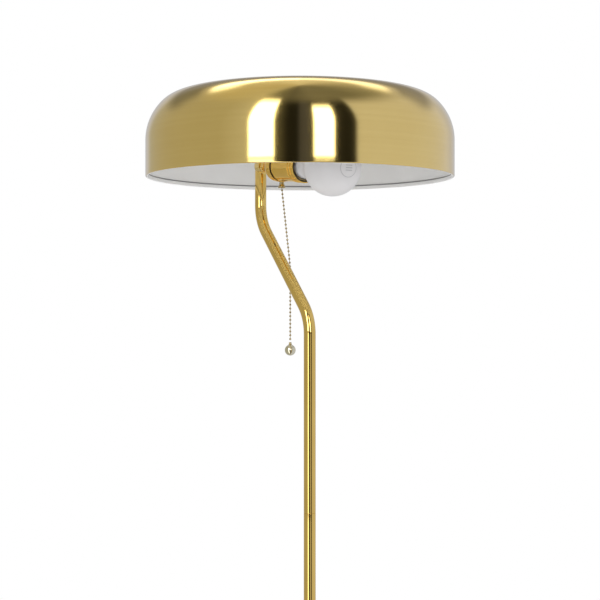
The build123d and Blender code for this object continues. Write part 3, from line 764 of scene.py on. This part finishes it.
# %% Spin the chain bell
bell_top, bell_mouth = rim_z + 2.4 * MM, rim_z - 8.2 * MM
bell = Outline(1.75 * MM, bell_top).line(3.5 * MM, bell_top).line(3.5 * MM, bell_top - 0.9 * MM)
bell.line(2.6 * MM, bell_top - 0.9 * MM).line(2.6 * MM, bell_mouth + 5.0 * MM, steps=2)
bell.arc(2.6 * MM + 5.0 * MM, bell_mouth + 5.0 * MM, 42, 8)
bell.line(3.9 * MM, bell_mouth + 0.7 * MM).line(3.9 * MM, bell_mouth + 0.3 * MM)
bell.line(3.6 * MM, bell_mouth).line(3.3 * MM, bell_mouth + 0.2 * MM)
bell.line(2.4 * MM, bell_mouth + 2.2 * MM).line(1.75 * MM, bell_mouth + 4.4 * MM).line(1.75 * MM, bell_top)
finish_piece(
    "chain_bell_spun", ease_edges(bell.turned(40), 0.15 * MM, 2, 35), "stand",
    ["chain_bell"], Matrix.Translation((chain_x, 0, 0)),
)

# %% [markdown]
# ## Wiring the finishes
# Every finish is a small network of nodes. To write one as plain sums, a class wraps a socket and
# turns +, -, * and / into Math nodes. A second class holds the network and makes any other node
# from its type, its settings and what goes into it.

# %% Write shader maths as expressions
class Value:
    """An output socket that takes part in arithmetic."""

    def __init__(self, wiring, socket):
        self.wiring, self.socket = wiring, socket

    def maths(self, operation, *values):
        inputs = dict(enumerate(values))
        return self.wiring.node("ShaderNodeMath", {"operation": operation}, inputs)

    def __add__(self, other):
        return self.maths("ADD", self, other)

    def __sub__(self, other):
        return self.maths("SUBTRACT", self, other)

    def __rsub__(self, other):
        return self.maths("SUBTRACT", other, self)

    def __mul__(self, other):
        return self.maths("MULTIPLY", self, other)

    def __truediv__(self, other):
        return self.maths("DIVIDE", self, other)

    def __rtruediv__(self, other):
        return self.maths("DIVIDE", other, self)

    def __abs__(self):
        return self.maths("ABSOLUTE", self)

    __radd__, __rmul__ = __add__, __mul__

    def root(self):
        return self.maths("SQRT", self)

    def angle_from(self, other):
        return self.maths("ARCTAN2", self, other)

    def rise(self, low, high):
        """0 below low and 1 above high, with a smooth step between; the other way if low is above high."""
        settings = {"interpolation_type": "SMOOTHSTEP"}
        return self.wiring.node("ShaderNodeMapRange", settings, {0: self, 1: low, 2: high, 3: 0.0, 4: 1.0})


print("socket arithmetic ready")

# %% Hold a node tree and add to it
class Wiring:
    """A node tree that is built by calls."""

    def __init__(self, tree):
        self.tree = tree
        tree.nodes.clear()

    def node(self, kind, settings=None, inputs=None, output=0):
        made = self.tree.nodes.new(kind)
        for key, value in (settings or {}).items():
            if key == "stops":
                self.set_stops(made.color_ramp, value)
            else:
                setattr(made, key, value)
        for key, value in (inputs or {}).items():
            if isinstance(value, Value):
                self.tree.links.new(value.socket, made.inputs[key])
            else:
                made.inputs[key].default_value = value
        return Value(self, made.outputs[output]) if len(made.outputs) else made

    def set_stops(self, ramp, stops):
        while len(ramp.elements) < len(stops):
            ramp.elements.new(0.5)
        for element, (position, colour) in zip(ramp.elements, stops):
            element.position = position
        for element, (position, colour) in zip(ramp.elements, stops):
            element.color = (*colour, 1.0)

    def split(self, vector):
        made = self.node("ShaderNodeSeparateXYZ", None, {0: vector})
        return [Value(self, socket) for socket in made.socket.node.outputs]

    def join(self, x, y, z):
        return self.node("ShaderNodeCombineXYZ", None, {0: x, 1: y, 2: z})

    def noise(self, vector, scale, detail=2.0, roughness=0.5):
        inputs = {"Vector": vector, "Scale": scale, "Detail": detail, "Roughness": roughness}
        return self.node("ShaderNodeTexNoise", None, inputs)

    def mix(self, amount, first, second):
        """Blend two colours."""
        return self.node("ShaderNodeMix", {"data_type": "RGBA"}, {0: amount, 6: first, 7: second}, output=2)

    def bump(self, height, depth, strength=1.0):
        inputs = {"Strength": strength, "Distance": depth, "Height": height}
        return self.node("ShaderNodeBump", None, inputs)


print("shader helpers ready")

# %% Start a material and give it its surface
materials = {}


class Finish(Wiring):
    """A material under construction. here is the place on the lamp, in metres."""

    def __init__(self, name, place=None):
        self.material = bpy.data.materials.new(name)
        self.material.use_nodes = True
        super().__init__(self.material.node_tree)
        self.here = self.node("ShaderNodeTexCoord", output=3)
        if place is not None:
            inputs = {1: place.to_translation(), 2: place.to_euler()}
            self.here = self.node("ShaderNodeMapping", {"vector_type": "TEXTURE"}, {0: self.here, **inputs})
        materials[name] = self.material

    def surface(self, through=0.0, veil_colour=None, **inputs):
        """Close the network with a surface; through is the share of light that comes out behind it."""
        named = {key.replace("_", " ").title(): value for key, value in inputs.items()}
        shader = self.node("ShaderNodeBsdfPrincipled", None, named)
        if through:
            veil = self.node("ShaderNodeBsdfTranslucent", None, {0: veil_colour})
            shader = self.node("ShaderNodeMixShader", None, {0: through, 1: shader, 2: veil})
        self.node("ShaderNodeOutputMaterial", None, {0: shader})
        return self.material


def dress(material, *names):
    """Give a finish to pieces made here or to parts of the frame, by name."""
    for name in names:
        thing = pieces.get(name) or frame["nodes"][name]
        thing.data.materials.clear()
        thing.data.materials.append(material)


print("finish helper ready")

# %% [markdown]
# ## Brushed brass
# Brass plate is polished with a belt or a mop while the work turns, which leaves rings of fine
# scratches. Their pattern depends only on the distance from the lathe's axis and on the height,
# so those two drive a noise. Slow patches vary the lacquer's colour and gloss a little.

# %% Mix the brushed brass
def brushed_brass(name, place, colour, dull, rough, line_width, line_depth, anisotropy=0.0):
    finish = Finish(name, place)
    x, y, z = finish.split(finish.here)
    reach = (x * x + y * y).root()
    rings = finish.noise(finish.join(reach / line_width, z / line_width, 0.0), 1.0, 3.0, 0.7)
    broad = finish.noise(finish.join(reach / line_width, z / line_width, 7.0), 0.13, 2.0, 0.5)
    patches = finish.noise(finish.here, 14.0, 3.0, 0.55)
    specks = finish.noise(finish.here, 240.0, 3.0, 0.7).rise(0.63, 0.75)
    shade_of = (patches * 0.55 + broad * 0.45).rise(0.3, 0.75)
    return finish.surface(
        base_color=finish.mix(shade_of, (*colour, 1), (*dull, 1)),
        metallic=1.0,
        roughness=rough + rings * 0.04 + (patches - 0.5) * 0.04 + specks * 0.10,
        anisotropic=anisotropy,
        anisotropic_rotation=0.25,
        coat_weight=0.9,
        coat_roughness=0.05,
        normal=finish.bump(rings + specks * 0.6, line_depth, 0.35),
    )


brass_bright, brass_dull = (0.93, 0.69, 0.235), (0.88, 0.64, 0.205)
shade_brass = brushed_brass(
    "satin_brass_shade", shade_place, brass_bright, brass_dull, 0.10, 0.5 * MM, 0.004 * MM, anisotropy=0.8,
)
turned_brass = brushed_brass(
    "satin_brass_base", None, brass_bright, brass_dull, 0.14, 0.5 * MM, 0.004 * MM, anisotropy=0.6,
)
dress(shade_brass, "shade_skin")
dress(turned_brass, "base_cover_spun", "foot_collar_turned")

# %% [markdown]
# The tubes are polished along their length before they are plated, so their scratches run
# lengthwise. The noise is squeezed across the tube and drawn out along it.

# %% Mix the drawn brass of the tubes
def drawn_brass(name, colour, dull, rough):
    finish = Finish(name)
    x, y, z = finish.split(finish.here)
    grain = finish.noise(finish.join(x / (1.2 * MM), y / (1.2 * MM), z / (90 * MM)), 1.0, 2.0, 0.6)
    patches = finish.noise(finish.here, 11.0, 3.0, 0.55)
    spots = finish.noise(finish.here, 260.0, 1.0, 0.5).rise(0.68, 0.8)
    return finish.surface(
        base_color=finish.mix(patches.rise(0.35, 0.7) * 0.7 + spots * 0.3, (*colour, 1), (*dull, 1)),
        metallic=1.0,
        roughness=rough + grain * 0.03 + (patches - 0.5) * 0.03,
        normal=finish.bump(patches, 0.02 * MM, 0.3),
    )


tube_brass = drawn_brass("satin_brass_tube", (0.90, 0.63, 0.185), (0.80, 0.54, 0.15), 0.04)
dress(tube_brass, "tube_lower", "tube_middle", "tube_upper")

# %% [markdown]
# ## Polished brass and the chain's brass
# The holder is thin sheet brass, buffed bright and lacquered: a deeper yellow and much sharper reflections
# than the shade. Buffing leaves a faint unevenness and tiny darker specks under the lacquer. The chain is
# duller, and the ball is plated paler.

# %% Mix the polished brass
def polished_brass(name, place, colour, dull, rough, speck_scale):
    finish = Finish(name, place)
    waves = finish.noise(finish.here, 90.0, 2.0, 0.5)
    specks = finish.noise(finish.here, speck_scale, 2.0, 0.6).rise(0.62, 0.8)
    return finish.surface(
        base_color=finish.mix(specks * 0.8 + waves * 0.2, (*colour, 1), (*dull, 1)),
        metallic=1.0,
        roughness=rough + specks * 0.12 + (waves - 0.5) * 0.06,
        normal=finish.bump(waves, 0.05 * MM, 0.5),
    )


holder_brass = polished_brass(
    "polished_brass", holder_place, (0.95, 0.62, 0.14), (0.62, 0.34, 0.06), 0.06, 700.0,
)
chain_brass = polished_brass("chain_brass", None, (0.84, 0.79, 0.60), (0.55, 0.47, 0.28), 0.10, 1500.0)
contact_brass = polished_brass(
    "contact_brass", holder_place, (0.85, 0.66, 0.30), (0.45, 0.32, 0.14), 0.3, 900.0,
)
bead_brass = polished_brass("bead_brass", None, (0.58, 0.47, 0.26), (0.34, 0.26, 0.12), 0.22, 1500.0)
dress(holder_brass, "holder_cap", "holder_shell")
dress(turned_brass, "saddle_disc", "set_screw")
dress(bead_brass, "bead_chain", "chain_coupling", "chain_bell_spun")
dress(chain_brass, "chain_ball_turned")
dress(contact_brass, "screw_shell_rolled", "centre_contact", "terminal_screws")

# %% [markdown]
# ## White enamel
# The inside of the shade is sprayed white and baked. Close up, such paint has orange peel. In the fine gap
# above the hem the white is mixed towards dark grey: painted shade for the shadow that falls in the gap.

# %% Spray the enamel
enamel_finish = Finish("white_enamel", shade_place)
x, y, z = enamel_finish.split(enamel_finish.here)
reach = (x * x + y * y).root()
peel = enamel_finish.noise(enamel_finish.here, 420.0, 2.0, 0.5)
cloud = enamel_finish.noise(enamel_finish.here, 9.0, 3.0, 0.6)
# painted shade: a dark grey band in the gap above the hem stands for the shadow in that crease
gap_middle, gap_half = hem_height - 0.1 * MM, 0.7 * MM
gap_painted_shade = abs(z - gap_middle).rise(gap_half * 1.6, gap_half * 0.7)
gap_painted_shade = gap_painted_shade * reach.rise(hem_r - 0.1 * MM, hem_r + 0.3 * MM)
enamel_tone = enamel_finish.mix(cloud.rise(0.35, 0.7), (0.80, 0.80, 0.80, 1), (0.76, 0.76, 0.76, 1))
enamel_white = enamel_finish.surface(
    base_color=enamel_finish.mix(gap_painted_shade * 0.85, enamel_tone, (0.16, 0.16, 0.165, 1)),
    roughness=0.38 + peel * 0.12 + gap_painted_shade * 0.3,
    normal=enamel_finish.bump(peel, 0.03 * MM, 0.4),
)
dress(enamel_white, "shade_enamel", "shade_bracket_strip")

# %% [markdown]
# ## Frosted glass
# A frosted bulb scatters light inside its skin, so it looks like milk under a thin gloss. Part of
# the light passes through and softens its shadow side. At the tip, every bulb is stamped with a
# small grey ring that gives its rating; here it is a plain ring and three short bars.

# %% Frost the glass and stamp it
glass_finish = Finish("frosted_glass", holder_place)
x, y, z = glass_finish.split(glass_finish.here)
reach = (x * x + y * y).root()
frost = glass_finish.noise(glass_finish.here, 1600.0, 2.0, 0.6)
haze = glass_finish.noise(glass_finish.here, 30.0, 2.0, 0.5)
line_half, ring_radius = 0.4 * MM, 9.6 * MM
bar_gap, bar_long, bar_short = 2.6 * MM, 4.2 * MM, 3.8 * MM
at_tip = z.rise(globe_place + 20 * MM, globe_place + 22 * MM)
ring_line = abs(reach - ring_radius).rise(line_half * 1.3, line_half * 0.5)
outer_bars = abs(abs(y) - bar_gap).rise(line_half * 1.6, line_half * 0.8)
middle_bar = abs(y).rise(line_half * 1.6, line_half * 0.8)
bar_ends = abs(x).rise(bar_long, bar_short)
stamp = at_tip * (ring_line + (outer_bars + middle_bar) * bar_ends)
milk = glass_finish.mix(haze.rise(0.3, 0.7), (0.93, 0.92, 0.925, 1), (0.90, 0.89, 0.895, 1))
frosted = glass_finish.surface(
    through=0.4,
    veil_colour=(0.915, 0.905, 0.91, 1),
    base_color=glass_finish.mix(stamp * 0.6, milk, (0.22, 0.23, 0.25, 1)),
    roughness=0.30 + frost * 0.12,
    coat_weight=0.35 + haze * 0.1,
    coat_roughness=0.12,
    normal=glass_finish.bump(frost, 0.01 * MM, 0.3),
)
dress(frosted, "bulb_glass_blown")

# %% [markdown]
# ## The other finishes
# Behind and inside there are moulded, cast and plated parts. Each takes one noise at the size of its
# own texture: pores in the foam, sand in the casting, spangle in the zinc. One function makes them
# all, from two colours, the texture's size and depth, and the gloss.

# %% Mix the plainer finishes
def textured(name, light, dark, grain_size, depth, rough, metallic=0.0, stretch=(1, 1, 1), place=None):
    finish = Finish(name, place)
    scaled = finish.node("ShaderNodeVectorMath", {"operation": "MULTIPLY"}, {0: finish.here, 1: stretch})
    grain = finish.noise(scaled, 1 / grain_size, 3.0, 0.6)
    patches = finish.noise(finish.here, 40.0, 2.0, 0.5)
    return finish.surface(
        base_color=finish.mix((grain * 0.7 + patches * 0.3).rise(0.3, 0.7), (*dark, 1), (*light, 1)),
        metallic=metallic,
        roughness=rough + (grain - 0.5) * 0.2,
        normal=finish.bump(grain, depth, 0.6),
    )


print("plain finish ready")

# %% Mix the metals
metal = {"metallic": 1.0}
zinc = textured("zinc_steel", (0.62, 0.63, 0.65), (0.42, 0.43, 0.45), 0.8 * MM, 0.01 * MM, 0.35, **metal)
iron = textured(
    "cast_iron", (0.07, 0.07, 0.075), (0.025, 0.025, 0.03), 0.9 * MM, 0.3 * MM, 0.7, metallic=0.6,
)
spring = textured(
    "spring_steel", (0.40, 0.41, 0.45), (0.22, 0.23, 0.27), 0.5 * MM, 0.01 * MM, 0.3, **metal,
)
nickel = textured(
    "cap_nickel", (0.72, 0.68, 0.60), (0.40, 0.33, 0.24), 0.7 * MM, 0.02 * MM, 0.28, **metal,
    place=holder_place,
)
solder = textured("solder", (0.60, 0.60, 0.62), (0.38, 0.38, 0.40), 0.9 * MM, 0.08 * MM, 0.4, **metal)
tungsten = textured("tungsten", (0.34, 0.34, 0.35), (0.20, 0.20, 0.21), 0.3 * MM, 0.01 * MM, 0.4, **metal)
print("finishes:", len(materials))

# %% Mix the moulded parts, the glass and the wiring
fibre = textured(
    "liner_fibre", (0.05, 0.028, 0.015), (0.012, 0.009, 0.007), 1.6 * MM, 0.05 * MM, 0.45,
    stretch=(0.2, 0.2, 3), place=holder_place,
)
foam = textured("pad_foam", (0.045, 0.045, 0.045), (0.012, 0.012, 0.012), 0.6 * MM, 0.2 * MM, 0.9)
black_plastic = textured(
    "black_plastic", (0.04, 0.04, 0.042), (0.02, 0.02, 0.02), 0.4 * MM, 0.02 * MM, 0.5,
)
phenolic = textured("phenolic", (0.06, 0.035, 0.02), (0.015, 0.01, 0.008), 2.5 * MM, 0.01 * MM, 0.25)
sheath = textured("lead_sheath", (0.05, 0.05, 0.05), (0.025, 0.025, 0.025), 0.8 * MM, 0.02 * MM, 0.55)
live = textured(
    "live_insulation", (0.035, 0.035, 0.035), (0.015, 0.015, 0.015), 0.8 * MM, 0.01 * MM, 0.4,
)
neutral = textured(
    "neutral_insulation", (0.80, 0.80, 0.77), (0.68, 0.68, 0.64), 0.8 * MM, 0.01 * MM, 0.4,
)
vitrite = textured("cap_glass", (0.03, 0.03, 0.04), (0.01, 0.01, 0.015), 1.2 * MM, 0.01 * MM, 0.15)
stem_glass = textured("clear_glass", (0.80, 0.84, 0.84), (0.66, 0.70, 0.70), 2.0 * MM, 0.01 * MM, 0.12)
print("finishes:", len(materials))

# %% Dress the inner parts
dress(fibre, "holder_liner")
dress(zinc, "base_nipple", "base_washer", "base_nut", "lower_coupling", "upper_coupling", "top_nipple",
      "shade_washer", "shade_nut", "socket_nipple", "body_screws", "switch_plate", "lever_pin", "pull_lever")
dress(iron, "base_weight")
dress(foam, "base_pad")
dress(black_plastic, "inlet_bush_moulded", "switch_rotor")
dress(phenolic, "socket_body")
dress(sheath, "supply_lead")
dress(live, "live_core")
dress(neutral, "neutral_core")
dress(spring, "lever_spring")
dress(nickel, "bulb_screw_cap")
dress(vitrite, "bulb_insulator")
dress(solder, "bulb_contact")
dress(stem_glass, "bulb_stem")
dress(tungsten, "bulb_filament")
print("inner parts dressed")

# %% [markdown]
# ## The studio
# Brass shows what stands round it, so the room is drawn as a sky: a pale sweep behind the lamp,
# beige and grey walls at the sides, two tall soft boxes beside the camera, and dark cloth between
# them where the camera stands. Only reflections see that room. The camera sees plain white, and
# matt surfaces are lit by a plain pale fill, which keeps their noise down. The sky's two axes are
# the angle round the lamp, from straight at the camera, and the angle above the horizon.

# %% Measure the sky's two angles
world = bpy.data.worlds.new("studio")
bpy.context.scene.world = world
world.use_nodes = True
sky = Wiring(world.node_tree)
x, y, z = sky.split(sky.node("ShaderNodeTexCoord"))
ahead = x * toward_camera.x + y * toward_camera.y
aside = x * camera_right.x + y * camera_right.y
around = aside.angle_from(ahead)
above = z.maths("ARCSINE", z)
print("sky angles ready")

# %% Colour the room near the horizon and overhead

def degrees_round(*stops):
    """Stops given in degrees round the lamp, as places on a ramp from 0 to 1."""
    return [(angle / 360 + 0.5, colour) for angle, colour in stops]


sweep, dark = (0.54, 0.54, 0.56), (0.012, 0.012, 0.011)
left_wall, right_wall = (0.44, 0.43, 0.37), (0.62, 0.63, 0.68)
camera_side = (0.065, 0.068, 0.095)
low_room = degrees_round(
    (-180, sweep), (-152, sweep), (-143, left_wall), (-60, left_wall), (-44, (0.50, 0.50, 0.48)),
    (-38, (0.50, 0.50, 0.48)), (-36, (0.06, 0.06, 0.05)), (-16, (0.06, 0.06, 0.05)), (-9, dark),
    (-2, dark), (0.5, camera_side), (6, camera_side), (8.5, (0.02, 0.02, 0.02)), (25, dark),
    (36, (0.014, 0.014, 0.013)), (40, (0.03, 0.03, 0.03)), (42.5, right_wall), (136, right_wall),
    (147, sweep), (180, sweep),
)
high_room = degrees_round(
    (-180, (0.75, 0.72, 0.64)), (-130, (0.62, 0.58, 0.46)), (-90, (0.54, 0.50, 0.36)),
    (-45, (0.52, 0.50, 0.42)), (-28, (0.20, 0.20, 0.17)), (-10, (0.12, 0.12, 0.11)),
    (12, (0.19, 0.19, 0.18)), (60, (0.18, 0.18, 0.16)), (95, (0.26, 0.26, 0.23)),
    (130, (0.50, 0.48, 0.42)), (180, (0.75, 0.72, 0.64)),
)
place_round = around / (2 * pi) + 0.5
low_colour = sky.node("ShaderNodeValToRGB", {"stops": low_room}, {0: place_round})
high_colour = sky.node("ShaderNodeValToRGB", {"stops": high_room}, {0: place_round})
room = sky.mix(above.rise(radians(40), radians(60)), low_colour, high_colour)
print("room colours:", len(low_room), "low,", len(high_room), "high")

# %% Add the soft boxes and the light overhead

def between(value, low, high, soft_low, soft_high):
    """1 between two angles in degrees, with soft edges."""
    start = value.rise(radians(low - soft_low), radians(low + soft_low))
    return start * value.rise(radians(high + soft_high), radians(high - soft_high))


def soft_box(left, right, top, below):
    """An upright soft box. Under its lower edge only a part of its light is left."""
    bottom = above.rise(radians(3.4), radians(4.8)) + above.rise(radians(3), radians(0)) * below
    return between(around, left, right, 1, 1) * bottom * above.rise(radians(top + 9), radians(top - 9))


box_glow, back_glow = 5.0, 1.3
round_back = abs(around).rise(radians(105), radians(135))
boxes = soft_box(-37, -18.6, 50, 0.45) + soft_box(10, 24.6, 38, 0.13)
back_slant = 1.6 - around.rise(radians(-60), radians(60)) * 0.7
back_light = between(above, 52, 63, 3, 5) * round_back * back_slant
valley = 1 - between(above, 28, 47, 5, 3) * round_back * 0.5
glow = boxes * box_glow + back_light * back_glow
darkening = sky.join(valley, valley, valley)
shaded = sky.node("ShaderNodeVectorMath", {"operation": "MULTIPLY"}, {0: room, 1: darkening})
lit = sky.node("ShaderNodeVectorMath", {"operation": "ADD"}, {0: shaded, 1: sky.join(glow, glow, glow)})
print("soft boxes and back light added")

# %% Show each kind of ray its own light
rays = sky.node("ShaderNodeLightPath").socket.node.outputs
seen, spread = (Value(sky, rays[name]) for name in ("Is Camera Ray", "Is Diffuse Ray"))
fill_level, fill_slant = 0.98, 0.12
fill = fill_level + aside * fill_slant
picture = sky.mix(seen, sky.mix(spread, lit, sky.join(fill, fill, fill)), (1, 1, 1, 1))
background = sky.node("ShaderNodeBackground", None, {0: picture, 1: 1.0})
sky.node("ShaderNodeOutputWorld", None, {0: background})
print("sky nodes:", len(world.node_tree.nodes))

# %% Lay the floor
# The floor takes the lamp's shadow and stays out of its reflections.
floor_size, floor_gap = 2.6, 0.5 * MM
floor_mesh = bmesh.new()
bmesh.ops.create_circle(floor_mesh, cap_ends=True, segments=128, radius=floor_size)
floor_data = bpy.data.meshes.new("floor")
floor_mesh.to_mesh(floor_data)
floor_mesh.free()
floor = bpy.data.objects.new("floor", floor_data)
bpy.context.collection.objects.link(floor)
floor.location.z = cad_low.z - floor_gap
floor_finish = Finish("floor")
speckle = floor_finish.noise(floor_finish.here, 60.0, 3.0, 0.6)
floor_finish.surface(
    base_color=floor_finish.mix(speckle, (0.86, 0.86, 0.85, 1), (0.82, 0.82, 0.81, 1)),
    roughness=0.7 + speckle * 0.1,
)
floor_data.materials.append(floor_finish.material)
floor.visible_glossy = False
print("floor laid, radius", floor_size)

# %% Hang a soft light
# It lights the matt parts from the left, and doesn't show in the brass.
rim_middle = Vector((shade_x, 0, rim_z))
light_offset = toward_camera * 0.9 - camera_right * 1.6 + Vector((0, 0, 1.3))
key_light = bpy.data.lights.new("soft_light", "AREA")
key_light.shape, key_light.size, key_light.energy = "DISK", 1.6, 18
key = bpy.data.objects.new("soft_light", key_light)
bpy.context.collection.objects.link(key)
key.location = rim_middle + light_offset
key.rotation_euler = (-light_offset).to_track_quat("-Z", "Y").to_euler()
key.visible_glossy = False
bpy.context.scene.view_settings.view_transform = "Standard"
print("soft light hung")
